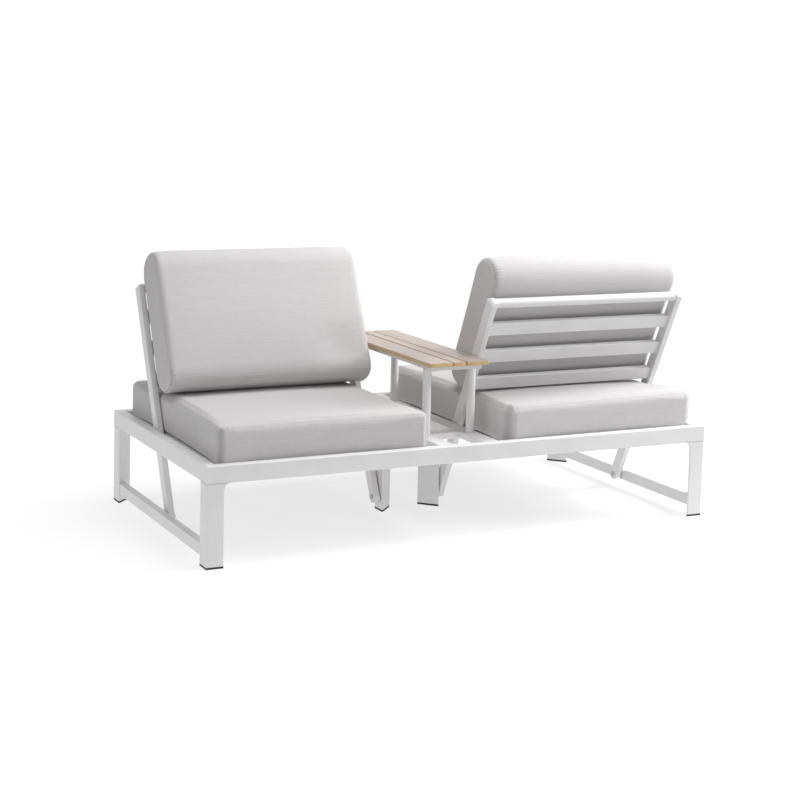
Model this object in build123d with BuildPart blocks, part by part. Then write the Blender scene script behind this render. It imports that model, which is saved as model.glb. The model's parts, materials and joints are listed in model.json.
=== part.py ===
from build123d import *
import math
import os

# Two-seat garden bench. X runs along the bench, -Y is the front, the floor is Z = 0
# and the origin is the middle of the footprint.

# Driving dimensions, mm
LENGTH = 1660
DEPTH = 850
SEAT_RAIL_TOP = 288
RAIL_HEIGHT = 50
RAIL_THICK = 30
TUBE_WALL = 2
TUBE_CORNER = 3

# Legs and feet
LEG_X = 52
LEG_Y = 55
LEG_CORNER = 3
LEG_TIP = 4
LEG_WEB = 14
LEG_WEB_THICK = 8
LEG_WEB_LAP = 6
FOOT_THICK = 6
FOOT_PLUG = 12
FOOT_FIT = 0.3

# Stretchers near the floor, and the pivots of the backs
PIVOT_Z = 44
STRETCHER_HEIGHT = 36
STRETCHER_INSET = 3
BOLT_RADIUS = 4
BOLT_RUNNING = 0.05
BOLT_HEAD_RADIUS = 7
BOLT_HEAD_THICK = 5
BOLT_CORNER = 1.5
BOLT_CHAMFER = 1
BOLT_SOCKET_RADIUS = 2.5
BOLT_SOCKET_DEPTH = 3
BOLT_REACH = 14
BOSS_RADIUS = 11
FACE_GAP = 0.3

# Centre of the bench
INNER_RAIL_IN = 50
INNER_RAIL_WIDTH = 51
INNER_RAIL_OUT = INNER_RAIL_IN + INNER_RAIL_WIDTH
INNER_RAIL_HEIGHT = 21
TIE_WIDTH = 40
TIE_Y = 220
MIDDLE_LEG_WIDTH = 54

# Reversible backs
LEAN = 25.4
ARM_WIDTH = 20
ARM_DEPTH = 37
ARM_RAIL_GAP = 3
ARM_END_GAP = 2
ARM_STRETCHER_GAP = 4
ARM_INNER_X = INNER_RAIL_OUT + ARM_RAIL_GAP
ARM_OUTER_X = LENGTH / 2 - RAIL_THICK - ARM_END_GAP - ARM_WIDTH
BACK_TOP = 725
TOP_RAIL_HEIGHT = 27
TOP_RAIL_DEPTH = 30
TOP_RAIL_CORNER = 12
TOP_CORNER = 12
SLAT_HEIGHT = 45
SLAT_DEPTH = 15
SLAT_CORNER = 3
SLAT_CLEAR = 3.5
SLAT_COUNT = 3

# Seat frames under the cushions
BEARER_GAP = 2
BEARER_IN = ARM_INNER_X + ARM_WIDTH + BEARER_GAP
BEARER_OUT = ARM_OUTER_X - BEARER_GAP
BEARER_WIDTH = 20
BEARER_HEIGHT = 24
SEAT_DROP = 14
SEAT_TOP = SEAT_RAIL_TOP - SEAT_DROP
SEAT_SLAT_WIDTH = 60
SEAT_SLAT_THICK = 12
STOP_RADIUS = 6
STOP_Z = SEAT_TOP - BEARER_HEIGHT / 2

# Table between the seats
TABLE_TOP = 518
TABLE_LENGTH = 654
BOARD_THICK = 12
BOARD_NARROW = 38
BOARD_GAP = 6
BOARD_WIDE = INNER_RAIL_OUT - BOARD_GAP - BOARD_NARROW / 2
BOARD_CORNER = 8
BOARD_EDGE = 1.5
TABLE_RAIL_WIDTH = 20
TABLE_RAIL_HEIGHT = 15
TABLE_RAIL_INSET = 22
POST_RADIUS = 13
POST_INSET = 45
POST_Y = TABLE_LENGTH / 2 - TABLE_RAIL_INSET - POST_INSET
POST_X = (INNER_RAIL_IN + INNER_RAIL_OUT) / 2

# Seat cushions: the corners stand out past the arms, and the sides draw in between them to clear the arms
SEAT_CUSHION_THICK = 112
SEAT_CUSHION_RISE = 10
SEAT_CUSHION_CORNER = 20
SEAT_CUSHION_ROLL = 15
SEAT_CUSHION_BASE_ROLL = 8
BASE_ROLL_SHARES = [(0, 0), (0.55, 0.14), (1, 0.5)]
TOP_ROLL_ANGLES = [0, 30, 55, 75]
TOP_OVER_SHARE = 2
SEAT_CUSHION_DRAWN = 6
SEAT_RAIL_GAP = 3
SEAT_ARM_GAP = 0.6
SEAT_INNER_INSET = {"left": 9, "right": -3}
SEAT_OUTER_OVER = {"left": 7, "right": 11}
SEAT_EDGE = SEAT_TOP + SEAT_CUSHION_THICK
SEAT_CROWN = SEAT_EDGE + SEAT_CUSHION_RISE
CROWN_OVER_SHARE = 1.1

# Back cushions: thick pads whose end panels are drawn in at each station from the end
BACK_CUSHION_THICK = 146
BACK_ROLL_SHARE = 0.98
BACK_CUSHION_OVER = {"left": 73, "right": 83}
BACK_INNER_OVER = {"left": 5, "right": 2}
BACK_OUTER_OVER = 8
BACK_CUSHION_GAP = 0.4
BACK_END_ROLL = 15
BACK_END_REACH = 150
BACK_STATION_SHARES = [(0, 1), (0.03, 0.5), (0.08, 0.26), (0.2, 0.14), (0.47, 0.05), (1, 0)]

SIDES = {"left": -1, "right": 1}
COS = math.cos(math.radians(LEAN))
SIN = math.sin(math.radians(LEAN))
RAIL_BOTTOM = SEAT_RAIL_TOP - RAIL_HEIGHT
INNER_RAIL_BOTTOM = SEAT_RAIL_TOP - INNER_RAIL_HEIGHT

os.makedirs("parts", exist_ok=True)


def save(piece, name):
    """Label a finished piece and write it under its own name."""
    piece.part.label = name
    export_step(piece.part, f"parts/{name}.step")


def tube(plane, width, height, reach, wall=TUBE_WALL, corner=TUBE_CORNER):
    """An open rectangular tube centred on a plane, reaching the same way on both sides of it."""
    with BuildPart() as piece:
        with BuildSketch(plane):
            RectangleRounded(width, height, corner)
            RectangleRounded(width - 2 * wall, height - 2 * wall, corner - wall, mode=Mode.SUBTRACT)
        extrude(amount=reach, both=True)
    return piece


# Seat rails: a mitred ring of four tubes
def seat_rail(along_x, sign):
    """One rail of the ring, cut at 45 degrees at both ends."""
    middle = SEAT_RAIL_TOP - RAIL_HEIGHT / 2
    half_x = LENGTH / 2
    half_y = DEPTH / 2
    inset = RAIL_THICK / 2
    if along_x:
        line = Plane(origin=(0, sign * (half_y - inset), middle), x_dir=(0, 1, 0), z_dir=(1, 0, 0))
        reach = half_x
        ends = [((x * half_x, sign * half_y, 0), (x, -sign, 0)) for x in (-1, 1)]
    else:
        line = Plane(origin=(sign * (half_x - inset), 0, middle), x_dir=(-1, 0, 0), z_dir=(0, 1, 0))
        reach = half_y
        ends = [((sign * half_x, y * half_y, 0), (-sign, y, 0)) for y in (-1, 1)]
    with BuildPart() as rail:
        with BuildSketch(line):
            RectangleRounded(RAIL_THICK, RAIL_HEIGHT, TUBE_CORNER)
            RectangleRounded(
                RAIL_THICK - 2 * TUBE_WALL,
                RAIL_HEIGHT - 2 * TUBE_WALL,
                TUBE_CORNER - TUBE_WALL,
                mode=Mode.SUBTRACT,
            )
        extrude(amount=reach, both=True)
        for corner, outward in ends:
            split(bisect_by=Plane(origin=corner, z_dir=outward), keep=Keep.BOTTOM)
    return rail


save(seat_rail(True, -1), "front_rail")
save(seat_rail(True, 1), "back_rail")
for side, sx in SIDES.items():
    save(seat_rail(False, sx), f"{side}_end_rail")


# Inner rails and the tie bars between them
INNER_FACE = DEPTH / 2 - RAIL_THICK
INNER_RAIL_MIDDLE = SEAT_RAIL_TOP - INNER_RAIL_HEIGHT / 2
for side, sx in SIDES.items():
    across = Plane(origin=(sx * POST_X, 0, INNER_RAIL_MIDDLE), x_dir=(-1, 0, 0), z_dir=(0, 1, 0))
    save(tube(across, INNER_RAIL_WIDTH, INNER_RAIL_HEIGHT, INNER_FACE), f"{side}_inner_rail")
for name, sy in {"front": -1, "back": 1}.items():
    across = Plane(origin=(0, sy * TIE_Y, INNER_RAIL_MIDDLE), x_dir=(0, 1, 0), z_dir=(1, 0, 0))
    save(tube(across, TIE_WIDTH, INNER_RAIL_HEIGHT, INNER_RAIL_IN), f"{name}_tie_bar")


# Legs: three-sided tubes whose right angle is the outer corner
def leg_section(corner, run_x, run_y, level, inset=0):
    """The three-sided outline of a leg, rounded so that its sharp tips end after the two runs."""
    x, y = corner
    tip_x = (x + run_x + math.copysign(LEG_TIP, run_x), y)
    tip_y = (x, y + run_y + math.copysign(LEG_TIP, run_y))
    with BuildSketch(Plane.XY.offset(level)) as section:
        with BuildLine():
            Polyline(corner, tip_x, tip_y, close=True)
        make_face()
        fillet(section.vertices(), LEG_CORNER)
        if inset:
            offset(amount=-inset, mode=Mode.REPLACE)
    return section.sketch


def leg_tube(corner, run_x, run_y, top):
    """A hollow leg from its foot cap up to a rail."""
    with BuildPart() as leg:
        extrude(leg_section(corner, run_x, run_y, FOOT_THICK), amount=top - FOOT_THICK)
        inside = leg_section(corner, run_x, run_y, FOOT_THICK, TUBE_WALL)
        extrude(inside, amount=top - FOOT_THICK, mode=Mode.SUBTRACT)
    return leg


def foot_cap(corner, run_x, run_y):
    """A plastic foot: a plate the size of the leg and a plug that fits inside it."""
    with BuildPart() as foot:
        extrude(leg_section(corner, run_x, run_y, 0), amount=FOOT_THICK)
        plug = leg_section(corner, run_x, run_y, FOOT_THICK, TUBE_WALL + FOOT_FIT)
        extrude(plug, amount=FOOT_PLUG)
    return foot


def leg_web(sx, sy):
    """The small curved web under the rail, beside a corner leg."""
    edge = (sx * (LENGTH / 2 - LEG_X), sy * DEPTH / 2, RAIL_BOTTOM)
    lap = sx * LEG_WEB_LAP
    inward = -sx * LEG_WEB
    with BuildPart() as web:
        with BuildSketch(Plane(origin=edge, x_dir=(1, 0, 0), z_dir=(0, -sy, 0))) as side:
            with BuildLine():
                Line((lap, 0), (inward, 0))
                RadiusArc((inward, 0), (0, sy * -LEG_WEB), sx * sy * LEG_WEB)
                Line((0, sy * -LEG_WEB), (lap, sy * -LEG_WEB))
                Line((lap, sy * -LEG_WEB), (lap, 0))
            make_face()
        extrude(amount=LEG_WEB_THICK)
    return web


for side, sx in SIDES.items():
    for name, sy in {"front": -1, "back": 1}.items():
        place = ((sx * LENGTH / 2, sy * DEPTH / 2), -sx * LEG_X, -sy * LEG_Y)
        leg = leg_tube(*place, RAIL_BOTTOM)
        web = leg_web(sx, sy)
        with BuildPart() as corner_leg:
            add(leg.part)
            add(web.part)
        save(corner_leg, f"{name}_{side}_leg")
        save(foot_cap(*place), f"{name}_{side}_foot")


# Pivots: a boss on the metal, a clearance hole through it, and the bolt
def pivot_plane(x, outward):
    """A plane across the pivot axis at x, facing outward along X."""
    return Plane(origin=(x, 0, PIVOT_Z), x_dir=(0, 1, 0), z_dir=(outward, 0, 0))


def pivot_bolt(face_x, outward, reach):
    """A button-headed bolt whose head bears at face_x and whose shank runs the other way."""
    with BuildPart() as bolt:
        with BuildSketch(pivot_plane(face_x, outward)):
            Circle(BOLT_HEAD_RADIUS)
        extrude(amount=BOLT_HEAD_THICK)
        rim = bolt.faces().sort_by(Axis.X)[-1 if outward > 0 else 0].edges()
        fillet(rim, BOLT_CORNER)
        with BuildSketch(pivot_plane(face_x + outward * BOLT_HEAD_THICK, outward)):
            RegularPolygon(BOLT_SOCKET_RADIUS, 6)
        extrude(amount=-BOLT_SOCKET_DEPTH, mode=Mode.SUBTRACT)
        with BuildSketch(pivot_plane(face_x, outward)):
            Circle(BOLT_RADIUS)
        extrude(amount=-reach)
        end = bolt.faces().sort_by(Axis.X)[0 if outward > 0 else -1].edges()
        chamfer(end, BOLT_CHAMFER)
    return bolt


# Middle legs, each with the boss of an inner pivot
for side, sx in SIDES.items():
    place = ((sx * INNER_RAIL_OUT, MIDDLE_LEG_WIDTH / 2), -sx * INNER_RAIL_WIDTH, -MIDDLE_LEG_WIDTH)
    leg = leg_tube(*place, INNER_RAIL_BOTTOM)
    face = pivot_plane(sx * INNER_RAIL_OUT, sx)
    with BuildPart() as middle_leg:
        add(leg.part)
        with BuildSketch(face):
            Circle(BOSS_RADIUS)
        extrude(amount=ARM_RAIL_GAP - FACE_GAP)
        with BuildSketch(face):
            Circle(BOLT_RADIUS + BOLT_RUNNING)
        extrude(amount=BOSS_RADIUS, both=True, mode=Mode.SUBTRACT)
    save(middle_leg, f"{side}_middle_leg")
    save(foot_cap(*place), f"{side}_middle_foot")
    bolt_length = FACE_GAP + ARM_WIDTH + ARM_RAIL_GAP + BOLT_REACH
    head = ARM_INNER_X + ARM_WIDTH + FACE_GAP
    save(pivot_bolt(sx * head, sx, bolt_length), f"{side}_inner_bolt")


# Stretchers between the corner legs, cut to the legs' slanting faces, with the outer pivots' bosses
STRETCHER_OUT = LENGTH / 2 - STRETCHER_INSET
STRETCHER_IN = ARM_OUTER_X + ARM_WIDTH + ARM_STRETCHER_GAP
STRETCHER_X = (STRETCHER_IN + STRETCHER_OUT) / 2
for side, sx in SIDES.items():
    line = Plane(origin=(sx * STRETCHER_X, 0, PIVOT_Z), x_dir=(-1, 0, 0), z_dir=(0, 1, 0))
    bar = tube(line, STRETCHER_OUT - STRETCHER_IN, STRETCHER_HEIGHT, DEPTH / 2)
    face = pivot_plane(sx * STRETCHER_IN, -sx)
    with BuildPart() as stretcher:
        add(bar.part)
        for sy in (-1, 1):
            slant = Plane(
                origin=(sx * LENGTH / 2, sy * (DEPTH / 2 - LEG_Y - LEG_TIP), 0),
                z_dir=(sx * (LEG_Y + LEG_TIP), sy * (LEG_X + LEG_TIP), 0),
            )
            split(bisect_by=slant, keep=Keep.BOTTOM)
        with BuildSketch(face):
            Circle(BOSS_RADIUS)
        extrude(amount=ARM_STRETCHER_GAP - FACE_GAP)
        with BuildSketch(face):
            Circle(BOLT_RADIUS + BOLT_RUNNING)
        extrude(amount=BOSS_RADIUS, both=True, mode=Mode.SUBTRACT)
    save(stretcher, f"{side}_stretcher")
    head = ARM_OUTER_X - FACE_GAP
    save(pivot_bolt(sx * head, -sx, STRETCHER_IN - head + BOLT_REACH), f"{side}_outer_bolt")


# Seat frames: two bearers, channel slats between them and two bars that stop the back
STOP_Y = (STOP_Z - PIVOT_Z) * SIN / COS + (ARM_DEPTH / 2 + STOP_RADIUS + FACE_GAP) / COS
SEAT_SLAT_PITCH = STOP_Y
SEAT_SLAT_ROWS = math.floor((INNER_FACE - SEAT_SLAT_WIDTH / 2) / SEAT_SLAT_PITCH + 1 / 2)


def seat_frame(sx):
    """Tube bearers along Y with pressed slats between them, open underneath."""
    middle = sx * (BEARER_IN + BEARER_OUT) / 2
    half_clear = (BEARER_OUT - BEARER_IN) / 2 - BEARER_WIDTH
    bearers = (BEARER_IN + BEARER_WIDTH / 2, BEARER_OUT - BEARER_WIDTH / 2)
    with BuildPart() as frame:
        for x in bearers:
            with BuildSketch(Plane(origin=(sx * x, 0, STOP_Z), x_dir=(-1, 0, 0), z_dir=(0, 1, 0))):
                RectangleRounded(BEARER_WIDTH, BEARER_HEIGHT, TUBE_CORNER)
            extrude(amount=INNER_FACE, both=True)
        for index in range(2 * SEAT_SLAT_ROWS):
            y = SEAT_SLAT_PITCH * (index + 1 / 2 - SEAT_SLAT_ROWS)
            across = Plane(origin=(middle, y, SEAT_TOP), x_dir=(0, 1, 0), z_dir=(1, 0, 0))
            with BuildSketch(across):
                Rectangle(SEAT_SLAT_WIDTH, SEAT_SLAT_THICK, align=(Align.CENTER, Align.MAX))
                with Locations((0, -TUBE_WALL)):
                    Rectangle(
                        SEAT_SLAT_WIDTH - 2 * TUBE_WALL,
                        SEAT_SLAT_THICK - TUBE_WALL,
                        align=(Align.CENTER, Align.MAX),
                        mode=Mode.SUBTRACT,
                    )
            extrude(amount=half_clear + TUBE_WALL, both=True)
        for x in bearers:
            with BuildSketch(Plane(origin=(sx * x, 0, STOP_Z), x_dir=(-1, 0, 0), z_dir=(0, 1, 0))):
                RectangleRounded(
                    BEARER_WIDTH - 2 * TUBE_WALL,
                    BEARER_HEIGHT - 2 * TUBE_WALL,
                    TUBE_CORNER - TUBE_WALL,
                )
            extrude(amount=INNER_FACE, both=True, mode=Mode.SUBTRACT)
        with BuildSketch(Plane(origin=(middle, 0, STOP_Z), x_dir=(0, 1, 0), z_dir=(1, 0, 0))):
            with Locations((STOP_Y, 0), (-STOP_Y, 0)):
                Circle(STOP_RADIUS)
        extrude(amount=BEARER_OUT, both=True, mode=Mode.SUBTRACT)
    return frame


def stop_bar(sx, y):
    """A round bar through both bearers: the arms of the back come to rest on its two ends."""
    start = ARM_INNER_X - FACE_GAP
    end = LENGTH / 2 - RAIL_THICK
    with BuildPart() as bar:
        with BuildSketch(Plane(origin=(sx * start, y, STOP_Z), x_dir=(0, 1, 0), z_dir=(sx, 0, 0))):
            Circle(STOP_RADIUS)
        extrude(amount=end - start)
    return bar


for side, sx in SIDES.items():
    save(seat_frame(sx), f"{side}_seat_frame")
    save(stop_bar(sx, -STOP_Y), f"{side}_front_stop_bar")
    save(stop_bar(sx, STOP_Y), f"{side}_back_stop_bar")


# Table: round posts, a frame of two rails and two cross bars, and three boards
TABLE_FRAME_TOP = TABLE_TOP - BOARD_THICK
TABLE_FRAME_MIDDLE = TABLE_FRAME_TOP - TABLE_RAIL_HEIGHT / 2
for side, sx in SIDES.items():
    for name, sy in {"front": -1, "back": 1}.items():
        with BuildPart() as post:
            with BuildSketch(Plane(origin=(sx * POST_X, sy * POST_Y, SEAT_RAIL_TOP))):
                Circle(POST_RADIUS)
                Circle(POST_RADIUS - TUBE_WALL, mode=Mode.SUBTRACT)
            extrude(amount=TABLE_FRAME_TOP - TABLE_RAIL_HEIGHT - SEAT_RAIL_TOP)
        save(post, f"{name}_{side}_post")
    along = Plane(origin=(sx * POST_X, 0, TABLE_FRAME_MIDDLE), x_dir=(-1, 0, 0), z_dir=(0, 1, 0))
    reach = TABLE_LENGTH / 2 - TABLE_RAIL_INSET
    save(tube(along, TABLE_RAIL_WIDTH, TABLE_RAIL_HEIGHT, reach), f"table_{side}_rail")
for name, sy in {"front": -1, "back": 1}.items():
    bar_y = TABLE_LENGTH / 2 - TABLE_RAIL_INSET - TABLE_RAIL_WIDTH / 2
    across = Plane(origin=(0, sy * bar_y, TABLE_FRAME_MIDDLE), x_dir=(0, 1, 0), z_dir=(1, 0, 0))
    reach = POST_X - TABLE_RAIL_WIDTH / 2
    save(tube(across, TABLE_RAIL_WIDTH, TABLE_RAIL_HEIGHT, reach), f"table_{name}_bar")


def board(x, width, rounded):
    """A board along Y; the corners on its outer side, if it has one, are rounded in plan."""
    with BuildPart() as piece:
        with BuildSketch(Plane(origin=(x, 0, TABLE_TOP - BOARD_THICK))) as plan:
            Rectangle(width, TABLE_LENGTH)
            if rounded:
                corners = plan.vertices().sort_by(Axis.X)
                fillet(corners[-2:] if rounded > 0 else corners[:2], BOARD_CORNER)
        extrude(amount=BOARD_THICK)
        fillet(piece.faces().sort_by(Axis.Z)[-1].edges(), BOARD_EDGE)
    return piece


BOARD_X = BOARD_NARROW / 2 + BOARD_GAP + BOARD_WIDE / 2
save(board(-BOARD_X, BOARD_WIDE, -1), "table_left_board")
save(board(0, BOARD_NARROW, 0), "table_middle_board")
save(board(BOARD_X, BOARD_WIDE, 1), "table_right_board")


# Backs, drawn on planes that lean with them: local x is away from the slats, local y is up the back
def back_plane(lean, x):
    """The plane of a back's side view at x; lean is +1 when the back leans to +Y."""
    return Plane(origin=(x, 0, PIVOT_Z), x_dir=(0, -lean * COS, SIN), z_dir=(-lean, 0, 0))


def arm_solid(lean, x, outward, inset):
    """An arm: its rounded section run up the back, trimmed to its side view and its front view."""
    side_view = back_plane(lean, x)
    foot = side_view.origin - side_view.y_dir * ARM_DEPTH
    front_view = Plane(origin=side_view.origin, x_dir=(1, 0, 0), z_dir=side_view.x_dir * lean)
    width = ARM_WIDTH - 2 * inset
    depth = ARM_DEPTH - 2 * inset
    top = BACK_TOP - inset
    with BuildPart() as solid:
        with BuildSketch(Plane(origin=foot, x_dir=(1, 0, 0), z_dir=side_view.y_dir)):
            RectangleRounded(width, depth, TUBE_CORNER - inset)
        extrude(amount=ARM_DEPTH + top)
        with BuildSketch(side_view) as profile:
            with Locations((0, top / 2)):
                Rectangle(depth, top)
            fillet(profile.vertices().sort_by(Axis.Y)[-2:], TOP_CORNER - inset)
            Circle(depth / 2)
        extrude(amount=ARM_WIDTH, both=True, mode=Mode.INTERSECT)
        with BuildSketch(front_view) as face:
            with Locations((0, (top - ARM_DEPTH) / 2)):
                Rectangle(width, top + ARM_DEPTH)
            top_corners = face.vertices().sort_by(Axis.Y)[-2:].sort_by(Axis.X)
            fillet(top_corners[-1 if outward > 0 else 0], TOP_CORNER - inset)
        extrude(amount=ARM_DEPTH, both=True, mode=Mode.INTERSECT)
    return solid


def back_arm(lean, x, outward):
    """A hollow arm with the clearance hole of its pivot."""
    shell = arm_solid(lean, x, outward, 0)
    core = arm_solid(lean, x, outward, TUBE_WALL)
    with BuildPart() as arm:
        add(shell.part)
        add(core.part, mode=Mode.SUBTRACT)
        with BuildSketch(back_plane(lean, x)):
            Circle(BOLT_RADIUS + BOLT_RUNNING)
        extrude(amount=ARM_WIDTH, both=True, mode=Mode.SUBTRACT)
    return arm


def back_bar(lean, x, level, height, depth, corner):
    """A tube across the back between the two arms, centred at a height up the back."""
    plane = back_plane(lean, x)
    line = Plane(origin=plane.origin + plane.y_dir * level, x_dir=plane.x_dir, z_dir=plane.z_dir)
    return tube(line, depth, height, (ARM_OUTER_X - ARM_INNER_X - ARM_WIDTH) / 2, corner=corner)


SLAT_FIRST = (SEAT_CROWN + SLAT_CLEAR - PIVOT_Z + SLAT_DEPTH / 2 * SIN) / COS
SLAT_PITCH = (BACK_TOP - TOP_RAIL_HEIGHT - SLAT_FIRST) / SLAT_COUNT
for side, sx in SIDES.items():
    lean = -sx
    middle = sx * (ARM_INNER_X + ARM_WIDTH + ARM_OUTER_X) / 2
    save(back_arm(lean, sx * (ARM_OUTER_X + ARM_WIDTH / 2), sx), f"{side}_back_outer_arm")
    save(back_arm(lean, sx * (ARM_INNER_X + ARM_WIDTH / 2), -sx), f"{side}_back_inner_arm")
    level = BACK_TOP - TOP_RAIL_HEIGHT / 2
    rail = back_bar(lean, middle, level, TOP_RAIL_HEIGHT, TOP_RAIL_DEPTH, TOP_RAIL_CORNER)
    save(rail, f"{side}_back_top_rail")
    for index in range(SLAT_COUNT):
        level = SLAT_FIRST + SLAT_PITCH * index + SLAT_HEIGHT / 2
        slat = back_bar(lean, middle, level, SLAT_HEIGHT, SLAT_DEPTH, SLAT_CORNER)
        save(slat, f"{side}_back_slat_{index + 1}")


# Seat cushions: a boxed pad with rolled edges under a crowned top
def crown_cap(x, half_x, half_y, bottom):
    """A block whose top is a shallow crown that curves along X and along Y."""
    rise = SEAT_CUSHION_RISE / 2
    bow = half_x * CROWN_OVER_SHARE
    bow_drop = rise * CROWN_OVER_SHARE ** 2
    radius = half_y ** 2 / (2 * rise)
    turn = math.degrees(half_y * CROWN_OVER_SHARE / radius)
    axis = Axis((x, 0, SEAT_CROWN - radius), (1, 0, 0))
    with BuildPart() as cap:
        with BuildSketch(Plane(origin=(x, 0, SEAT_CROWN), x_dir=(1, 0, 0), z_dir=(0, -1, 0))) as face:
            with BuildLine():
                crest = ThreePointArc((-bow, -bow_drop), (0, 0), (bow, -bow_drop))
                Polyline(crest @ 1, (bow, bottom - SEAT_CROWN), (-bow, bottom - SEAT_CROWN), crest @ 0)
            make_face()
        revolve(axis=axis, revolution_arc=turn)
        revolve(face.sketch, axis=axis, revolution_arc=-turn)
    return cap


def pad_plan(level, ends, half_y, drawn, inset):
    """A plan outline whose four sides draw in between rounded corners; drawn gives the two ends' depths."""
    low = ends[0] + inset
    high = ends[1] - inset
    wide = half_y - inset
    with BuildSketch(Plane.XY.offset(level)) as plan:
        with BuildLine():
            ThreePointArc((low, -wide), ((low + high) / 2, SEAT_CUSHION_DRAWN - wide), (high, -wide))
            ThreePointArc((high, -wide), (high - drawn[1], 0), (high, wide))
            ThreePointArc((high, wide), ((low + high) / 2, wide - SEAT_CUSHION_DRAWN), (low, wide))
            ThreePointArc((low, wide), (low + drawn[0], 0), (low, -wide))
        make_face()
        fillet(plan.vertices(), SEAT_CUSHION_CORNER)
    return plan.sketch


def seat_cushion(sx, inner_inset, outer_over):
    """A pad lofted through its plan outlines and trimmed by the crown."""
    half_y = INNER_FACE - SEAT_RAIL_GAP
    inner = ARM_INNER_X + ARM_WIDTH + inner_inset
    outer = ARM_OUTER_X + outer_over
    arm_y = ((SEAT_CROWN - PIVOT_Z) * SIN + ARM_DEPTH / 2) / COS
    arm_share = 1 - (arm_y / half_y) ** 2
    overs = (-inner_inset, outer_over)
    drawn = [max(SEAT_CUSHION_DRAWN, (over + SEAT_ARM_GAP) / arm_share) for over in overs]
    ends = (inner, outer) if sx > 0 else (-outer, -inner)
    drawn = drawn if sx > 0 else drawn[::-1]
    roll = SEAT_CUSHION_ROLL
    base_roll = SEAT_CUSHION_BASE_ROLL
    low = SEAT_TOP + base_roll
    high = SEAT_EDGE - roll
    base = [(low - base_roll * down, base_roll * under) for down, under in BASE_ROLL_SHARES]
    bends = [math.radians(angle) for angle in TOP_ROLL_ANGLES]
    rolled = [(high + roll * math.sin(bend), roll * (1 - math.cos(bend))) for bend in bends]
    rolled.append((SEAT_CROWN, roll * TOP_OVER_SHARE))
    cap = crown_cap(sum(ends) / 2, (outer - inner) / 2, half_y, SEAT_TOP - roll)
    with BuildPart() as pad:
        extrude(pad_plan(low, ends, half_y, drawn, 0), amount=high - low)
        for views in (base, rolled):
            for level, inset in views:
                add(pad_plan(level, ends, half_y, drawn, inset))
            loft()
        add(cap.part, mode=Mode.INTERSECT)
    return pad


# Back cushions: a thick pad with a half-round roll at top and bottom, fuller in the middle than at its ends
def back_cushion(lean, x0, x1, top):
    """A pad lofted along X through its rolled side view, clear of the arms behind and the seat below."""
    radius = BACK_CUSHION_THICK / 2
    depth = ARM_DEPTH / 2 + BACK_CUSHION_GAP + radius
    seat = SEAT_CROWN + BACK_CUSHION_GAP
    low = (seat + radius - PIVOT_Z - depth * SIN) / COS - radius
    stations = [(at * BACK_END_REACH, draw * BACK_END_ROLL) for at, draw in BACK_STATION_SHARES]
    views = [(x0 + at, inset) for at, inset in stations]
    views += [(x1 - at, inset) for at, inset in reversed(stations)]
    with BuildPart() as pad:
        for x, inset in views:
            plane = back_plane(lean, x)
            middle = plane.origin + plane.x_dir * depth + plane.y_dir * (low + top) / 2
            with BuildSketch(Plane(origin=middle, x_dir=plane.x_dir, z_dir=plane.z_dir)):
                RectangleRounded(
                    2 * (radius - inset),
                    top - low - 2 * inset,
                    (radius - inset) * BACK_ROLL_SHARE,
                )
        loft()
    return pad


for side, sx in SIDES.items():
    save(seat_cushion(sx, SEAT_INNER_INSET[side], SEAT_OUTER_OVER[side]), f"{side}_seat_cushion")
    inner = ARM_INNER_X + ARM_WIDTH - BACK_INNER_OVER[side]
    outer = ARM_OUTER_X + BACK_OUTER_OVER
    low, high = sorted((sx * inner, sx * outer))
    save(back_cushion(-sx, low, high, BACK_TOP + BACK_CUSHION_OVER[side]), f"{side}_back_cushion")
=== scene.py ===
import bmesh
import bpy
import json
import math
import numpy as np
from functools import partial
from mathutils import Matrix, Vector
from mathutils.bvhtree import BVHTree


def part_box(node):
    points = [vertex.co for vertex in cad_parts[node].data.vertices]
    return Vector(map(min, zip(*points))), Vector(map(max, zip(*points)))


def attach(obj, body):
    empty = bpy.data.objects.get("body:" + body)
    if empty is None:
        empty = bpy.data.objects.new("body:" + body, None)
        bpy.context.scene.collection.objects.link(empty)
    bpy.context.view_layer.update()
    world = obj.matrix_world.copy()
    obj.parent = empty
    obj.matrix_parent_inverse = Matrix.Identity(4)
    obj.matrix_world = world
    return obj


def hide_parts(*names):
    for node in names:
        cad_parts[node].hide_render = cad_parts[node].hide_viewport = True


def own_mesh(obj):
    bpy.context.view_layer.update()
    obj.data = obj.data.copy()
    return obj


# Two-seat garden bench: finishes, sewn cushions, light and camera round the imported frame. Lengths are in
# metres. X runs along the bench, -Y is its front and Z is up.
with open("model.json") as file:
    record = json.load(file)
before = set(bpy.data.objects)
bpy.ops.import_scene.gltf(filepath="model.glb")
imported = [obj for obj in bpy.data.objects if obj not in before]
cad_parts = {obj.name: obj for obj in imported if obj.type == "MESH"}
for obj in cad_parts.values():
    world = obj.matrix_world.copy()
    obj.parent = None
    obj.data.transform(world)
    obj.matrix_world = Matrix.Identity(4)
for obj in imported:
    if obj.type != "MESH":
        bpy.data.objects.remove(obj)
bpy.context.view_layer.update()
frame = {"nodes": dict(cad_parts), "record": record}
scene = bpy.context.scene
nodes = frame["nodes"]


# Colour and node helpers
def linear(code):
    """An sRGB hex colour as the linear colour that shaders take."""
    parts = [int(code[i:i + 2], 16) / 255.0 for i in (1, 3, 5)]
    return tuple(c / 12.92 if c <= 0.04045 else ((c + 0.055) / 1.055) ** 2.4 for c in parts) + (1.0,)


def grain(size):
    """The noise scale that draws a pattern of this size in millimetres."""
    return 1000.0 / size


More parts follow.
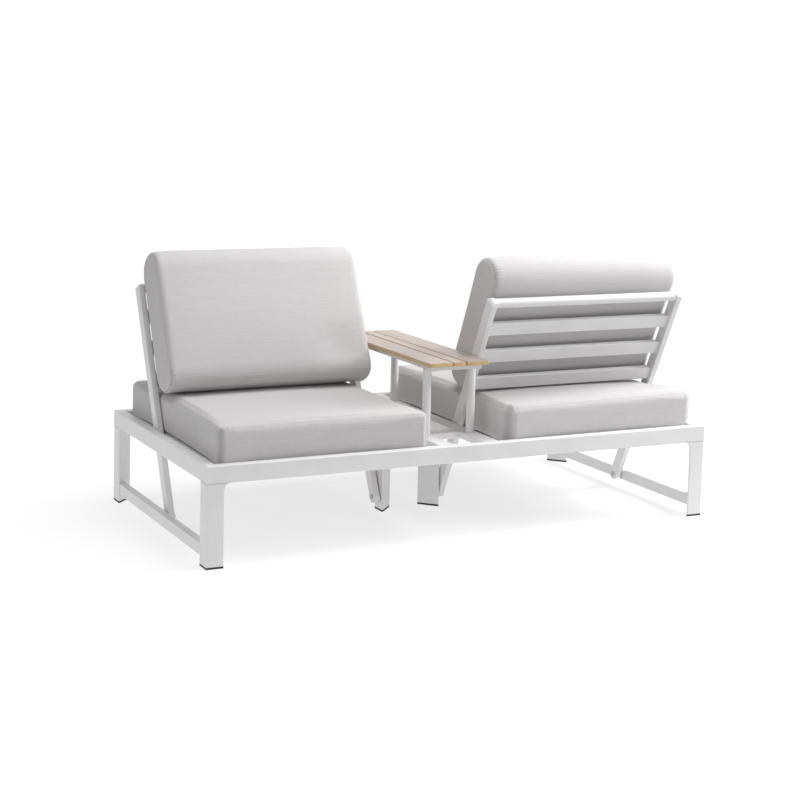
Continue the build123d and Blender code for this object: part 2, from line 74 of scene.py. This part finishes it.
def node(tree, kind, settings=None, inputs=None, stops=()):
    """Add a node. An input is a value or another node's output, and stops are a ramp's places and colours."""
    new = tree.nodes.new(kind)
    for key, value in (settings or {}).items():
        setattr(new, key, value)
    for key, value in (inputs or {}).items():
        if isinstance(value, bpy.types.NodeSocket):
            tree.links.new(value, new.inputs[key])
        else:
            new.inputs[key].default_value = value
    for index, (position, code) in enumerate(stops):
        elements = new.color_ramp.elements
        element = elements[index] if index < len(elements) else elements.new(position)
        element.position = position
        element.color = linear(code)
    return new


def material(name, finish):
    """A new material, whose shader takes the inputs that the finish makes in its node tree."""
    made = bpy.data.materials.new(name)
    made.use_nodes = True
    tree = made.node_tree
    tree.nodes.clear()
    shader = node(tree, "ShaderNodeBsdfPrincipled", inputs=finish(tree))
    node(tree, "ShaderNodeOutputMaterial", inputs={"Surface": shader.outputs["BSDF"]})
    return made


# Finishes
def powder_coat(tree):
    """White polyester powder coat on aluminium tube: a satin film with a faint orange peel."""
    place = node(tree, "ShaderNodeTexCoord").outputs["Object"]
    peel = node(tree, "ShaderNodeTexNoise", inputs={"Vector": place, "Scale": grain(2.2), "Detail": 2.0})
    cloud = node(tree, "ShaderNodeTexNoise", inputs={"Vector": place, "Scale": grain(90.0), "Detail": 3.0})
    white = node(
        tree, "ShaderNodeValToRGB", inputs={"Fac": cloud.outputs["Fac"]},
        stops=((0.3, "#DFDEDF"), (0.7, "#E4E3E4")))
    satin = node(
        tree, "ShaderNodeMapRange",
        inputs={"Value": cloud.outputs["Fac"], "To Min": 0.36, "To Max": 0.46})
    bump = node(
        tree, "ShaderNodeBump",
        inputs={"Height": peel.outputs["Fac"], "Strength": 0.12, "Distance": 0.0002})
    return {
        "Base Color": white.outputs["Color"],
        "Roughness": satin.outputs["Result"],
        "Normal": bump.outputs["Normal"],
    }


def board_wood(tree):
    """Wood-look board, brushed along its length, with ochre edges and a top painted grey-beige: a painted
    reflection of the white room seen at a grazing angle.
    """
    place = node(tree, "ShaderNodeTexCoord")
    run = node(
        tree, "ShaderNodeMapping",
        inputs={"Vector": place.outputs["Object"], "Scale": (1.0, 0.035, 1.0)}).outputs["Vector"]
    fine = node(
        tree, "ShaderNodeTexNoise",
        inputs={"Vector": run, "Scale": grain(2.5), "Detail": 3.0, "Roughness": 0.65})
    broad = node(
        tree, "ShaderNodeTexNoise",
        inputs={"Vector": run, "Scale": grain(14.0), "Detail": 2.0, "Distortion": 0.6})
    bands = node(tree, "ShaderNodeMath", {"operation": "MULTIPLY"}, {0: broad.outputs["Fac"], 1: 0.55})
    figure = node(
        tree, "ShaderNodeMath", {"operation": "MULTIPLY_ADD"},
        {0: fine.outputs["Fac"], 1: 0.45, 2: bands.outputs[0]})
    # painted reflection: this grey-beige stands for the white room mirrored in the tops at a grazing angle
    grey = node(
        tree, "ShaderNodeValToRGB", inputs={"Fac": figure.outputs[0]},
        stops=((0.36, "#9C8C82"), (0.5, "#AB9C93"), (0.64, "#B7A9A0")))
    ochre = node(
        tree, "ShaderNodeValToRGB", inputs={"Fac": figure.outputs[0]},
        stops=((0.36, "#B8966A"), (0.5, "#C6A87E"), (0.64, "#D0B692")))
    # faces that turn up take the painted reflection in place of the ochre
    facing = node(tree, "ShaderNodeSeparateXYZ", inputs={0: place.outputs["Normal"]})
    top = node(
        tree, "ShaderNodeMapRange",
        inputs={"Value": facing.outputs["Z"], "From Min": 0.35, "From Max": 0.8})
    top_painted_reflection = node(
        tree, "ShaderNodeMix", {"data_type": "RGBA"},
        {"Factor": top.outputs["Result"], "A": ochre.outputs["Color"], "B": grey.outputs["Color"]})
    rough = node(
        tree, "ShaderNodeMapRange",
        inputs={"Value": fine.outputs["Fac"], "To Min": 0.3, "To Max": 0.42})
    bump = node(
        tree, "ShaderNodeBump",
        inputs={"Height": fine.outputs["Fac"], "Strength": 0.25, "Distance": 0.0003})
    return {
        "Base Color": top_painted_reflection.outputs["Result"],
        "Roughness": rough.outputs["Result"],
        "Normal": bump.outputs["Normal"],
    }


def black_plastic(tree):
    """Moulded black nylon foot: matt, with a moulded grain, drawn coarse so that it shows."""
    place = node(tree, "ShaderNodeTexCoord").outputs["Object"]
    moulded = node(tree, "ShaderNodeTexNoise", inputs={"Vector": place, "Scale": grain(1.2), "Detail": 2.0})
    black = node(
        tree, "ShaderNodeValToRGB", inputs={"Fac": moulded.outputs["Fac"]},
        stops=((0.3, "#141414"), (0.7, "#1E1E1E")))
    bump = node(
        tree, "ShaderNodeBump",
        inputs={"Height": moulded.outputs["Fac"], "Strength": 0.3, "Distance": 0.0002})
    return {"Base Color": black.outputs["Color"], "Roughness": 0.55, "Normal": bump.outputs["Normal"]}


def bolt_steel(tree):
    """Stainless steel, turned: a satin metal with uneven wear, drawn coarse so that it shows."""
    place = node(tree, "ShaderNodeTexCoord").outputs["Object"]
    wear = node(tree, "ShaderNodeTexNoise", inputs={"Vector": place, "Scale": grain(1.5), "Detail": 2.0})
    satin = node(
        tree, "ShaderNodeMapRange",
        inputs={"Value": wear.outputs["Fac"], "To Min": 0.25, "To Max": 0.4})
    return {"Base Color": linear("#B9B9B7"), "Metallic": 1.0, "Roughness": satin.outputs["Result"]}


def cushion_fabric(tree):
    """Solution-dyed outdoor fabric: light grey plain weave, matt, with pale and dark slubs running across, and
    painted shade along its seams and corner creases.
    """
    place = node(tree, "ShaderNodeTexCoord").outputs["Object"]
    across = node(tree, "ShaderNodeMapping", inputs={"Vector": place, "Scale": (0.05, 1.0, 1.0)})
    along = node(tree, "ShaderNodeMapping", inputs={"Vector": place, "Scale": (1.0, 0.08, 0.08)})
    # the real threads lie about 0.5 mm apart and are drawn 1.6 mm apart so that they show
    weft = node(
        tree, "ShaderNodeTexNoise",
        inputs={"Vector": across.outputs["Vector"], "Scale": grain(1.6), "Detail": 3.0, "Roughness": 0.6})
    warp = node(
        tree, "ShaderNodeTexNoise",
        inputs={"Vector": along.outputs["Vector"], "Scale": grain(1.6), "Detail": 2.0, "Roughness": 0.6})
    slub = node(
        tree, "ShaderNodeTexNoise",
        inputs={"Vector": across.outputs["Vector"], "Scale": grain(5.0), "Detail": 2.0, "Roughness": 0.5})
    threads = node(tree, "ShaderNodeMath", {"operation": "MULTIPLY"}, {0: weft.outputs["Fac"], 1: 0.6})
    woven = node(
        tree, "ShaderNodeMath", {"operation": "MULTIPLY_ADD"},
        {0: warp.outputs["Fac"], 1: 0.25, 2: threads.outputs[0]})
    flecked = node(
        tree, "ShaderNodeMath", {"operation": "MULTIPLY_ADD"},
        {0: slub.outputs["Fac"], 1: 0.3, 2: woven.outputs[0]})
    grey = node(
        tree, "ShaderNodeValToRGB", inputs={"Fac": flecked.outputs[0]},
        stops=((0.42, "#C0BEBE"), (0.57, "#C6C4C4"), (0.72, "#CCCACA")))
    # painted shade: along seams and up corner creases the grey is mixed towards #6E6C6B, by the share that each
    # point holds
    seam_and_shade = node(tree, "ShaderNodeAttribute", {"attribute_name": "seam_and_shade"})
    shade = node(tree, "ShaderNodeMath", {"operation": "MULTIPLY"}, {0: seam_and_shade.outputs["Fac"], 1: 0.45})
    shaded = node(
        tree, "ShaderNodeMix", {"data_type": "RGBA"},
        {"Factor": shade.outputs[0], "A": grey.outputs["Color"], "B": linear("#6E6C6B")})
    bump = node(
        tree, "ShaderNodeBump",
        inputs={"Height": flecked.outputs[0], "Strength": 0.35, "Distance": 0.0006})
    return {
        "Base Color": shaded.outputs["Result"],
        "Roughness": 0.9,
        "Sheen Weight": 0.15,
        "Sheen Roughness": 0.5,
        "Specular IOR Level": 0.25,
        "Normal": bump.outputs["Normal"],
    }


WHITE = material("white_powder_coat", powder_coat)
FABRIC = material("grey_slub_fabric", cushion_fabric)
FINISHES = {
    "frame_white": WHITE,
    "board_tan": material("ochre_board", board_wood),
    "foot_black": material("black_nylon", black_plastic),
    "bolt_steel": material("stainless_steel", bolt_steel),
    "cushion_grey": FABRIC,
}
for part in frame["record"]["subparts"]:
    mesh = nodes[part["node"]].data
    mesh.materials.clear()
    mesh.materials.append(FINISHES[part["material_slot"]])


# Cushion covers: each packed cushion remeshed, drawn in a little, blown up as cloth, shaped and sewn
VOXEL = 0.006
SAME_POINT = 1e-6
TINY = 1e-9
DRAWN_IN = 0.0015
SWELL = 0.024
PRESSURE = 4.0
CLOTH_FRAMES = 12
CLOTH_STEPS = 2
STUFFED_OUT = 0.005
EVEN_ROUNDS = 6
NORMAL_ROUNDS = 5

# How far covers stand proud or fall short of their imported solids, on faces whose normal has more than FACING
# along an axis
FACING = 0.5
SEAT_END_ROOM = 0.004
SEAT_FRONT_ROOM = 0.0015
BACK_END_ROOM = 0.004
BACK_END_SHORT = 0.003

# Seams run halfway round a rolled edge. They reach a half width to each side, pull in by a depth, and darken
# the cloth with painted shade by a share. A corner's crease runs out over the top and base, faster by
# CREASE_RUN_OUT. A back's end seam pulls by the share STRAIGHT_SHARE where it runs straight
MID_ROLL = math.radians(45.0)
SEAM_HALF = 0.0034
CREASE_HALF = 0.0065
CREASE_RUN_OUT = 2.0
TOP_PULL, BASE_PULL, CORNER_PULL = 0.0007, 0.0006, 0.0034
TOP_PAINTED_SHADE, BASE_PAINTED_SHADE, CORNER_PAINTED_SHADE = 0.25, 0.3, 0.7
END_PULL, END_PAINTED_SHADE = 0.0016, 0.7
STRAIGHT_SHARE = 0.25

# The radius of each rolled edge that a seam runs along
TOP_ROLL = 0.014
BASE_ROLL = 0.008
CORNER_ROLL = 0.020
END_ROLL = 0.012

# Gathers: their height, pitch and reach. Two slow waves (height, radians per metre, start) keep them uneven
GATHER_DRIFT = ((1.1, 75.0, 0.0), (0.8, 47.0, 1.0))
SEAT_GATHER, SEAT_GATHER_BY_CORNER = 0.0001, 0.0010
SEAT_GATHER_PITCH = 0.019
SEAT_GATHER_REACH = 0.0055
BY_CORNER = 0.05
BACK_GATHER = 0.0015
BACK_GATHER_PITCH = 0.011
BACK_GATHER_REACH = 0.020
BACK_PANEL_REACH = 0.004
BACK_OUTER_SHARE = 0.35
BACK_ROLLED_FROM, BACK_ROLLED_OVER = 0.02, 0.010

# Right seat: round by its inner front corner, and fuller over the end rail. A pair is where that starts and the
# span over which it comes to its full measure
ARM_SWEEP = 0.215
PAST_ARM = (ARM_SWEEP, 0.08)
PLAN_ROUND = 0.045
TOP_ROUND = 0.028
SEAT_EDGE_TOP = 0.386
OVER_RAIL, OVER_RAIL_Z, OVER_RAIL_X = 0.013, (0.286, 0.02), (0.6, 0.19)
FULLER, FULLER_Z, FULLER_X = 0.009, (0.3, 0.08), (0.4, 0.35)

# Backs: their lean off upright, the lower front roll (round at a power of 2, squarer above it), its sag by the
# ends as a share of its radius, the left one's dent and the right one's thinner foot
LEAN = math.radians(25.4)
BOXED_POWER = 3
SAG, SAG_REACH = 0.09, 0.018
DENT_PLACE, DENT_SIZE, DENT_DEEP = (-0.225, 0.045, 0.525), (0.075, 0.060, 0.060), 0.009
FOOT_THINNER = 0.2


def evaluated(piece):
    """A piece's mesh with its modifiers applied."""
    return bpy.data.meshes.new_from_object(piece.evaluated_get(bpy.context.evaluated_depsgraph_get()))


def with_modifier(mesh, kind, **settings):
    """The mesh that one modifier makes of this mesh."""
    carrier = bpy.data.objects.new("carrier", mesh)
    scene.collection.objects.link(carrier)
    modifier = carrier.modifiers.new("step", kind)
    for key, value in settings.items():
        setattr(modifier, key, value)
    made = evaluated(carrier)
    bpy.data.objects.remove(carrier)
    return made


def rows_of(items, field, width, kind=float):
    """One field of a mesh's points or edges as an array of rows."""
    flat = np.empty(len(items) * width, dtype=kind)
    items.foreach_get(field, flat)
    return flat.reshape(-1, width)


def points_of(mesh):
    """A mesh's points."""
    return rows_of(mesh.vertices, "co", 3)


def put_points(mesh, points):
    """Move a mesh's points to these places."""
    mesh.vertices.foreach_set("co", points.ravel())


def averaged(rows, mesh, rounds):
    """Rows averaged with those of their neighbours, some rounds over."""
    edges = rows_of(mesh.edges, "vertices", 2, int)
    for _ in range(rounds):
        total = rows.copy()
        share = np.ones(len(rows))
        for one, other in ((0, 1), (1, 0)):
            np.add.at(total, edges[:, one], rows[edges[:, other]])
            np.add.at(share, edges[:, one], 1.0)
        rows = total / share[:, None]
    return rows


def soft_normals(mesh):
    """The directions that the surface faces, evened out over its small wrinkles."""
    rows = averaged(rows_of(mesh.vertex_normals, "vector", 3), mesh, NORMAL_ROUNDS)
    return rows / np.linalg.norm(rows, axis=1, keepdims=True)


def blown_up(mesh):
    """The cover after a few frames of air pressure, with no point moving further than the swell."""
    start = points_of(mesh)
    carrier = bpy.data.objects.new("carrier", mesh)
    scene.collection.objects.link(carrier)
    cloth = carrier.modifiers.new("cloth", "CLOTH")
    cloth.settings.quality = CLOTH_STEPS
    cloth.settings.use_pressure = True
    cloth.settings.uniform_pressure_force = PRESSURE
    cloth.settings.effector_weights.gravity = 0.0
    cloth.point_cache.frame_start = 1
    cloth.point_cache.frame_end = CLOTH_FRAMES
    for step in range(1, CLOTH_FRAMES + 1):
        scene.frame_set(step)
    made = evaluated(carrier)
    bpy.data.objects.remove(carrier)
    scene.frame_set(1)
    move = points_of(made) - start
    length = np.maximum(np.linalg.norm(move, axis=1, keepdims=True), TINY)
    put_points(made, start + move * np.minimum(1.0, SWELL / length))
    return made


def held(mesh, limit, room):
    """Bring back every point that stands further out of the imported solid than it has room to."""
    for vertex in mesh.vertices:
        near, normal, _, _ = limit.find_nearest(vertex.co)
        proud = (vertex.co - near).dot(normal)
        spare = room(near, normal)
        if proud > spare:
            vertex.co = near + normal * spare


def cover(name, room):
    """The blown-up cover of a packed cushion, before it is shaped and sewn."""
    work = bmesh.new()
    work.from_mesh(nodes[name].data)
    bmesh.ops.remove_doubles(work, verts=work.verts, dist=SAME_POINT)
    limit = BVHTree.FromBMesh(work)
    closed = bpy.data.meshes.new(name + "_space")
    work.to_mesh(closed)
    work.free()
    mesh = with_modifier(closed, "REMESH", mode="VOXEL", voxel_size=VOXEL)
    packed = points_of(mesh)
    put_points(mesh, packed - soft_normals(mesh) * DRAWN_IN)
    mesh = blown_up(mesh)
    put_points(mesh, points_of(mesh) + soft_normals(mesh) * STUFFED_OUT)
    held(mesh, limit, room)
    # only the move is averaged: that takes the cloth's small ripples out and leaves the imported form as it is
    put_points(mesh, packed + averaged(points_of(mesh) - packed, mesh, EVEN_ROUNDS))
    return with_modifier(mesh, "SUBSURF", levels=1, render_levels=1)


def seat_room(near, normal):
    """How far a seat cover may stand proud of its solid: at its front and back, and at its ends where no arm
    swings past. The right one's inner end falls short, as the photograph shows."""
    if abs(normal.x) > FACING:
        if abs(near.y) < ARM_SWEEP:
            return 0.0
        right_inner = near.x > 0.0 and normal.x < 0.0
        return -SEAT_END_ROOM if right_inner else SEAT_END_ROOM
    return SEAT_FRONT_ROOM if abs(normal.y) > FACING else 0.0


def back_room(near, normal):
    """How far a back cover may stand proud of its solid: only at the right one's outer end. Other ends fall
    short, and the faces between them lie on the solid."""
    if abs(normal.x) < FACING:
        return 0.0
    right_outer = near.x > 0.0 and normal.x > 0.0
    return BACK_END_ROOM if right_outer else -BACK_END_SHORT


def bell(distance, half):
    """1 on a line, falling away to both sides of it over a half width."""
    return np.exp(-(distance / half) ** 2)


def fade(values, start, span):
    """0 up to a start, rising evenly to 1 a span further on."""
    return np.clip((values - start) / span, 0.0, 1.0)


def to_end(points, axis):
    """How far in from the nearer end of the cushion each point lies."""
    values = points[:, axis]
    return np.minimum(values - values.min(), values.max() - values)


def ripple(along, pitch):
    """Uneven gathers along a seam, from -1 to 1."""
    drift = sum(height * np.sin(along * rate + start) for height, rate, start in GATHER_DRIFT)
    return np.sin(2.0 * math.pi * along / pitch + drift)


def seat_sewing(points, normals):
    """Seat cushion: seams round the top and the base, a crease up each corner, a few gathers by the corners,
    and painted shade along the seams and creases.
    """
    tilt = np.arcsin(np.clip(normals[:, 2], -1.0, 1.0))
    around = np.arctan2(normals[:, 1], normals[:, 0])
    to_top = (tilt - MID_ROLL) * TOP_ROLL
    to_base = (tilt + MID_ROLL) * BASE_ROLL
    to_corner = np.abs((around + math.pi) % (2.0 * MID_ROLL) - MID_ROLL) * CORNER_ROLL
    off_side = np.maximum(0.0, np.abs(tilt) - MID_ROLL) * TOP_ROLL
    top = bell(to_top, SEAM_HALF)
    base = bell(to_base, SEAM_HALF)
    corner = bell(np.hypot(to_corner, off_side * CREASE_RUN_OUT), CREASE_HALF)
    by_corner = bell(np.hypot(to_end(points, 0), to_end(points, 1)), BY_CORNER)
    along = np.where(np.abs(normals[:, 0]) > np.abs(normals[:, 1]), points[:, 1], points[:, 0])
    height = bell(to_top, SEAT_GATHER_REACH) * (SEAT_GATHER + SEAT_GATHER_BY_CORNER * by_corner)
    gather = height * ripple(along, SEAT_GATHER_PITCH)
    pull = np.maximum.reduce([top * TOP_PULL, base * BASE_PULL, corner * CORNER_PULL])
    # the second share is painted shade in the seams and corner creases
    return gather - pull, np.maximum.reduce([top * TOP_PAINTED_SHADE, base * BASE_PAINTED_SHADE, corner * CORNER_PAINTED_SHADE])


def back_frame(points, lean):
    """Where points lie across a back cushion, from its middle: away from the slats, and up the back."""
    away = -lean * math.cos(LEAN) * points[:, 1] + math.sin(LEAN) * points[:, 2]
    up = lean * math.sin(LEAN) * points[:, 1] + math.cos(LEAN) * points[:, 2]
    return away - (away.min() + away.max()) / 2.0, up - (up.min() + up.max()) / 2.0


def back_sewing(points, normals, lean):
    """Back cushion: a seam round each end panel, drawn up in short gathers where it goes round the rolls, with
    painted shade along it.
    """
    away, up = back_frame(points, lean)
    radius = away.max()
    past = np.abs(up) - (up.max() - radius)
    rolled = 1.0 / (1.0 + np.exp(-(past - BACK_ROLLED_FROM) / BACK_ROLLED_OVER))
    tilt = np.arcsin(np.clip(np.abs(normals[:, 0]), 0.0, 1.0))
    to_seam = (tilt - MID_ROLL) * END_ROLL
    on_face = bell(to_end(points, 0), BACK_GATHER_REACH)
    reach = np.where(tilt < MID_ROLL, on_face, bell(to_seam, BACK_PANEL_REACH))
    turn = np.arctan2(np.maximum(0.0, past), away)
    share = np.where(points[:, 0] * normals[:, 0] < 0.0, 1.0, BACK_OUTER_SHARE)
    gather = reach * rolled * share * BACK_GATHER * ripple(turn * radius, BACK_GATHER_PITCH)
    strength = STRAIGHT_SHARE + (1.0 - STRAIGHT_SHARE) * rolled
    seam_and_shade = bell(to_seam, SEAM_HALF)
    # the second share is painted shade along the end seam
    return gather - END_PULL * seam_and_shade * strength, END_PAINTED_SHADE * seam_and_shade * strength


def right_seat_shape(points):
    """The right seat cushion: rounder by its inner front corner, and bulging over the end rail at its outer."""
    x, y, z = points.T
    side_x = np.maximum(0.0, PLAN_ROUND - (x - x.min()))
    side_y = np.maximum(0.0, PLAN_ROUND - (y - y.min()))
    reach = np.maximum(np.hypot(side_x, side_y), TINY)
    past = np.maximum(0.0, reach - PLAN_ROUND)
    across = np.maximum(0.0, TOP_ROUND - np.maximum(0.0, PLAN_ROUND - reach))
    above = np.clip(TOP_ROUND - (SEAT_EDGE_TOP - z), 0.0, TOP_ROUND)
    share = 1.0 - TOP_ROUND / np.maximum(np.hypot(across, above), TOP_ROUND)
    inward = (past + across * share) / reach
    front = fade(-y, *PAST_ARM)
    out = OVER_RAIL * fade(z, *OVER_RAIL_Z) * front * fade(x, *OVER_RAIL_X) ** 2
    rise = FULLER * fade(z, *FULLER_Z) * front * fade(x, *FULLER_X)
    return points + np.column_stack([side_x * inward + out, side_y * inward, rise - above * share])


def boxed_below(points, lean):
    """A back cushion whose lower front roll is squared, as the real pad is boxed, and whose lower ends sag."""
    away, up = back_frame(points, lean)
    drop = up + up.max() - away.max()
    reach = np.maximum(np.hypot(away, drop), SAME_POINT)
    a, b = np.abs(away) / reach, np.abs(drop) / reach
    lower_front = (away > 0.0) & (drop < 0.0) & (reach > SAME_POINT)
    squared = (a ** BOXED_POWER + b ** BOXED_POWER) ** (-1.0 / BOXED_POWER)
    grow = np.where(lower_front, squared - 1.0, 0.0)
    grow += np.where(drop < 0.0, SAG * b * bell(to_end(points, 0), SAG_REACH), 0.0)
    out_y = -lean * math.cos(LEAN) * away + lean * math.sin(LEAN) * drop
    out_z = math.sin(LEAN) * away + math.cos(LEAN) * drop
    return points + np.column_stack([np.zeros(len(points)), out_y * grow, out_z * grow])


def left_back_shape(points):
    """The left back cushion, boxed below, with the shallow dent that the photograph shows in its front."""
    points = boxed_below(points, 1.0)
    gap = (points - np.array(DENT_PLACE)) / np.array(DENT_SIZE)
    dent = DENT_DEEP * np.exp(-(gap ** 2).sum(axis=1))
    return points + dent[:, None] * np.array((0.0, math.cos(LEAN), -math.sin(LEAN)))


def right_back_shape(points):
    """The right back cushion, boxed below, and thinner towards its foot."""
    points = boxed_below(points, -1.0)
    away, up = back_frame(points, -1.0)
    foot = np.clip(0.5 - up / (up.max() - up.min()), 0.0, 1.0)  # 0 at the top of the back, 1 at its foot
    thin = -FOOT_THINNER * np.maximum(0.0, away) * foot
    return points + thin[:, None] * np.array((0.0, math.cos(LEAN), math.sin(LEAN)))


def cushion(name, body, room, sewing, shape=None):
    """Dress a packed cushion in its shaped and sewn cover."""
    mesh = cover(name, room)
    points = points_of(mesh)
    if shape:
        points = shape(points)
        put_points(mesh, points)
        mesh.update()
    normals = soft_normals(mesh)
    move, seam_and_shade = sewing(points, normals)
    put_points(mesh, points + normals * move[:, None])
    # painted shade: each point keeps its share of the shade that the fabric paints along seams and creases
    mesh.attributes.new("seam_and_shade", "FLOAT", "POINT").data.foreach_set("value", seam_and_shade)
    mesh.polygons.foreach_set("use_smooth", np.ones(len(mesh.polygons), dtype=bool))
    mesh.materials.clear()
    mesh.materials.append(FABRIC)
    piece = bpy.data.objects.new(name + "_cover", mesh)
    scene.collection.objects.link(piece)
    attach(piece, body)
    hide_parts(name)
    return piece


for side, lean, seat_shape, back_shape in (
    ("left", 1.0, None, left_back_shape),
    ("right", -1.0, right_seat_shape, right_back_shape),
):
    sewn = partial(back_sewing, lean=lean)
    cushion(side + "_seat_cushion", "frame", seat_room, seat_sewing, seat_shape)
    back = cushion(side + "_back_cushion", side + "_cushion", back_room, sewn, back_shape)
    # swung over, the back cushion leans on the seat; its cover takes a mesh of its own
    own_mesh(back)


# Table rails: a white plug in each open end
TUBE_WALL = 0.002
PLUG_DEEP = 0.004


def end_plug(rail, end):
    """A plug just inside one end of a table rail, the front one for -1 and the back one for 1."""
    low, high = (Vector(corner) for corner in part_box(rail))
    size = high - low - Vector((2.0 * TUBE_WALL, 0.0, 2.0 * TUBE_WALL))
    middle = (low + high) / 2.0
    middle.y += end * (size.y - PLUG_DEEP) / 2.0
    work = bmesh.new()
    place = Matrix.Translation(middle) @ Matrix.Diagonal((size.x, PLUG_DEEP, size.z, 1.0))
    bmesh.ops.create_cube(work, size=1.0, matrix=place)
    mesh = bpy.data.meshes.new(rail + "_plug")
    work.to_mesh(mesh)
    work.free()
    mesh.materials.append(WHITE)
    piece = bpy.data.objects.new(rail + ("_front_plug" if end < 0.0 else "_back_plug"), mesh)
    scene.collection.objects.link(piece)
    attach(piece, "frame")


for rail in ("table_left_rail", "table_right_rail"):
    for end in (-1.0, 1.0):
        end_plug(rail, end)


# Stage and light: the floor is grey round the bench, inside an oval, and glows white further out
FLOOR_HALF = 1.8
OVAL = (1.05, 0.75, 1.0)
GREY_UP_TO, WHITE_FROM = 0.7, 1.5
FLOOR_GREY, FLOOR_GLOW = 0.45, 0.6
ROOM_LIGHT = 0.365
SEEN_WHITE = 1.05
PURE_WHITE = linear("#FFFFFF")

# Softboxes: name, place, the point they face, side and power in watts
SOFTBOXES = (
    ("overhead", (0.3, -0.3, 3.0), (0.3, 0.0, 0.3), 2.2, 46.0),
    ("right_front", (2.0, -2.2, 2.4), (0.6, 0.0, 0.35), 1.0, 15.0),
    ("right_side", (2.6, -0.7, 1.7), (0.6, -0.2, 0.4), 1.2, 80.0),
    ("left_side", (-3.0, -0.5, 1.4), (-0.3, 0.0, 0.4), 1.5, 9.0),
)


def floor_paint(tree):
    """Matt studio floor paint: grey enough round the bench to take its shadow, and a white glow further out."""
    place = node(tree, "ShaderNodeTexCoord").outputs["Object"]
    scaled = node(tree, "ShaderNodeVectorMath", {"operation": "DIVIDE"}, {0: place, 1: OVAL})
    away = node(tree, "ShaderNodeVectorMath", {"operation": "LENGTH"}, {0: scaled.outputs["Vector"]})
    reach = {"Value": away.outputs["Value"], "From Min": GREY_UP_TO, "From Max": WHITE_FROM}
    grey = node(tree, "ShaderNodeMapRange", inputs={**reach, "To Min": FLOOR_GREY, "To Max": 0.0})
    glow = node(tree, "ShaderNodeMapRange", inputs={**reach, "To Min": FLOOR_GLOW, "To Max": SEEN_WHITE})
    return {
        "Base Color": grey.outputs["Result"],
        "Roughness": 0.9,
        "Specular IOR Level": 0.0,
        "Emission Color": PURE_WHITE,
        "Emission Strength": glow.outputs["Result"],
    }


def studio_floor():
    """A square of floor under the bench."""
    work = bmesh.new()
    bmesh.ops.create_grid(work, x_segments=1, y_segments=1, size=FLOOR_HALF)
    mesh = bpy.data.meshes.new("floor")
    work.to_mesh(mesh)
    work.free()
    mesh.materials.append(material("floor_paint", floor_paint))
    made = bpy.data.objects.new("floor", mesh)
    scene.collection.objects.link(made)


def studio_room():
    """A white room: one strength lights the bench, and a brighter one is seen and mirrored."""
    world = bpy.data.worlds.new("studio")
    world.use_nodes = True
    tree = world.node_tree
    tree.nodes.clear()
    path = node(tree, "ShaderNodeLightPath")
    seen = node(
        tree, "ShaderNodeMath", {"operation": "MAXIMUM"},
        {0: path.outputs["Is Camera Ray"], 1: path.outputs["Is Glossy Ray"]})
    lit = node(tree, "ShaderNodeBackground", inputs={"Color": PURE_WHITE, "Strength": ROOM_LIGHT})
    shown = node(tree, "ShaderNodeBackground", inputs={"Color": PURE_WHITE, "Strength": SEEN_WHITE})
    mixed = node(
        tree, "ShaderNodeMixShader",
        inputs={0: seen.outputs[0], 1: lit.outputs[0], 2: shown.outputs[0]})
    node(tree, "ShaderNodeOutputWorld", inputs={"Surface": mixed.outputs[0]})
    scene.world = world


def softbox(name, place, aim, size, power):
    """A square softbox at a place, turned towards a point."""
    lamp = bpy.data.lights.new(name, "AREA")
    lamp.shape = "SQUARE"
    lamp.size = size
    lamp.energy = power
    made = bpy.data.objects.new(name, lamp)
    scene.collection.objects.link(made)
    made.location = place
    made.rotation_euler = (Vector(aim) - Vector(place)).to_track_quat("-Z", "Y").to_euler()


studio_floor()
studio_room()
for box in SOFTBOXES:
    softbox(*box)
scene.view_settings.view_transform = "Standard"

# Camera: the photograph's view, solved from the frame's corners in it. Pixels are the photograph's
CAMERA_PLACE = (-2.43486, -4.75681, 1.35770)
YAW, PITCH, ROLL = 0.465295, 0.100374, 0.0251525
FOCAL_PIXELS = 1717.173
PHOTO_PIXELS = 800.0
SENSOR = 36.0
SHIFT_UP = -0.1875


def photo_camera():
    """The camera at its place: turned by yaw from +Y towards +X, tipped down by pitch, and rolled."""
    forward = Vector((math.sin(YAW) * math.cos(PITCH), math.cos(YAW) * math.cos(PITCH), -math.sin(PITCH)))
    level_right = Vector((math.cos(YAW), -math.sin(YAW), 0.0))
    level_up = level_right.cross(forward)
    right = level_right * math.cos(ROLL) + level_up * math.sin(ROLL)
    up = level_up * math.cos(ROLL) - level_right * math.sin(ROLL)
    lens = bpy.data.cameras.new("camera")
    lens.sensor_width = SENSOR
    lens.lens = SENSOR * (FOCAL_PIXELS / PHOTO_PIXELS)
    lens.shift_y = SHIFT_UP
    camera = bpy.data.objects.new("camera", lens)
    scene.collection.objects.link(camera)
    turned = Matrix((right, up, -forward)).transposed()
    camera.matrix_world = Matrix.Translation(CAMERA_PLACE) @ turned.to_4x4()
    scene.camera = camera


photo_camera()
